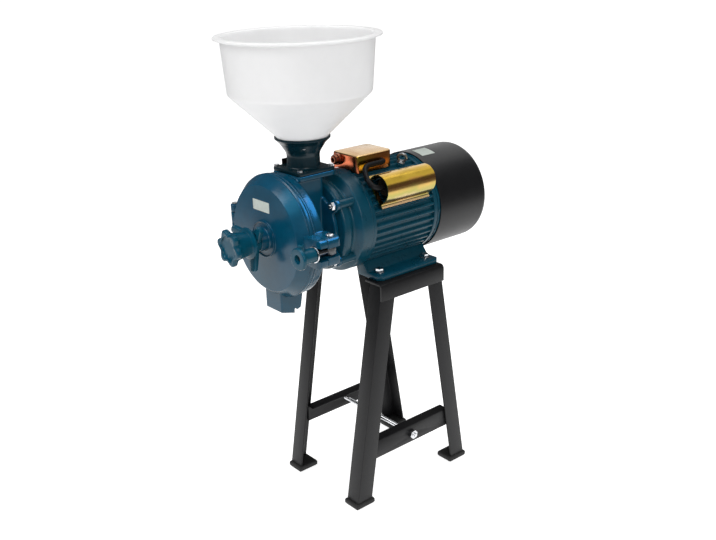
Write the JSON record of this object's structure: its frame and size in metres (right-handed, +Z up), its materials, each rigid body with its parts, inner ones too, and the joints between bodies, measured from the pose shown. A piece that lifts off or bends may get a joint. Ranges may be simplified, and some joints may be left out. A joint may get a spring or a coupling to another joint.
{
  "type": "electric grain mill",
  "caption": "Electric disc grain mill: hopper over a round grinding head driven by a finned motor, on a four-legged angle-steel stand.",
  "frame": {"origin": "centre of the footprint on the floor", "axes": "+Z up, Y along the motor axis with the adjusting knob towards -Y, clamp towards +X"},
  "size_m": [0.2694, 0.4976, 0.8163],
  "materials": {
    "stand_steel": "satin black powder coat",
    "pad_rubber": "moulded black rubber",
    "mill_paint": "glossy petrol blue enamel over cast iron",
    "cover_paint": "glossy petrol blue enamel over cast iron",
    "cowl_paint": "satin black enamel",
    "yellow_zinc": "yellow passivated zinc plate",
    "bright_plate": "bright nickel plate",
    "bare_steel": "turned steel",
    "bare_iron": "bare cast iron",
    "copper_winding": "varnished copper winding",
    "white_plastic": "translucent white polypropylene",
    "black_plastic": "black moulded plastic"
  },
  "bodies": {
    "mill": {"rail_near": "stand_steel", "rail_far": "stand_steel", "brace_near": "stand_steel", "brace_far": "stand_steel", "leg_near_front": "stand_steel", "leg_near_rear": "stand_steel", "leg_far_front": "stand_steel", "leg_far_rear": "stand_steel", "foot_pad_near_front": "pad_rubber", "foot_pad_near_rear": "pad_rubber", "foot_pad_far_front": "pad_rubber", "foot_pad_far_rear": "pad_rubber", "tie_rod": "bright_plate", "foot_bolt_near_front": "bright_plate", "foot_bolt_near_rear": "bright_plate", "foot_bolt_far_front": "bright_plate", "foot_bolt_far_rear": "bright_plate", "swing_bolt_pin": "bright_plate", "head_stud_near_upper": "bright_plate", "head_stud_near_lower": "bright_plate", "head_stud_far_upper": "bright_plate", "head_stud_far_lower": "bright_plate", "hopper_set_screw": "bright_plate", "collar_screw_near_front": "bright_plate", "collar_screw_near_rear": "bright_plate", "collar_screw_far_front": "bright_plate", "collar_screw_far_rear": "bright_plate", "motor_frame": "mill_paint", "front_bell": "mill_paint", "rear_shield": "mill_paint", "chamber_housing": "mill_paint", "feed_collar": "mill_paint", "front_cover": "cover_paint", "fan_cover": "cowl_paint", "terminal_box": "yellow_zinc", "cable_gland": "yellow_zinc", "capacitor_cover": "yellow_zinc", "front_bearing": "bare_steel", "rear_bearing": "bare_steel", "lifting_eye": "bare_steel", "cover_hinge_pin": "bare_steel", "stator": "copper_winding", "hopper": "white_plastic", "terminal_board": "black_plastic", "capacitor": "black_plastic", "capacitor_lead": "black_plastic"},
    "grinding_shaft": {"shaft": "bare_steel", "rotor": "bare_iron", "cooling_fan": "black_plastic", "feed_screw": "bare_iron", "rotary_disc": "bare_iron"},
    "disc_carrier": {"pressure_plate": "bare_steel", "fixed_disc": "bare_iron"},
    "knob": {"adjusting_knob": "cover_paint", "adjusting_spindle": "bare_steel"},
    "lock": {"lock_wheel": "cover_paint"},
    "clamp_bolt": {"swing_bolt": "bright_plate"},
    "clamp_slider": {"clamp_washer": "bright_plate"},
    "clamp_nut": {"hand_nut": "cover_paint"},
    "gate": {"feed_gate": "stand_steel"}
  },
  "joints": [
    {"name": "shaft_spin", "type": "hinge", "parent": "mill", "child": "grinding_shaft", "pos_m": [-0.00425, 0.05525, 0.506], "axis": [0, 1, 0], "continuous": true},
    {"name": "knob_turn", "type": "hinge", "parent": "disc_carrier", "child": "knob", "pos_m": [-0.00425, -0.22475, 0.506], "axis": [0, 1, 0], "range_deg": [0, 360]},
    {"name": "disc_set", "type": "slide", "parent": "mill", "child": "disc_carrier", "axis": [0, -1, 0], "range_m": [0, 0.002]},
    {"name": "lock_turn", "type": "hinge", "parent": "knob", "child": "lock", "pos_m": [-0.00425, -0.19875, 0.506], "axis": [0, 1, 0], "range_deg": [0, 90]},
    {"name": "clamp_swing", "type": "hinge", "parent": "mill", "child": "clamp_bolt", "pos_m": [0.11475, -0.13985, 0.507], "axis": [0, 0, 1], "range_deg": [0, 90]},
    {"name": "nut_travel", "type": "slide", "parent": "clamp_bolt", "child": "clamp_slider", "axis": [0, -1, 0], "range_m": [0, 0.006]},
    {"name": "nut_turn", "type": "hinge", "parent": "clamp_slider", "child": "clamp_nut", "pos_m": [0.11475, -0.18475, 0.507], "axis": [0, 1, 0], "range_deg": [0, 1440]},
    {"name": "gate_slide", "type": "slide", "parent": "mill", "child": "gate", "axis": [-1, 0, 0], "range_m": [0, 0.045]}
  ],
  "couplings": [
    {"joint": "disc_set", "follows": "knob_turn", "m_per_rad": 0.000318},
    {"joint": "nut_travel", "follows": "nut_turn", "m_per_rad": 0.0002387}
  ]
}
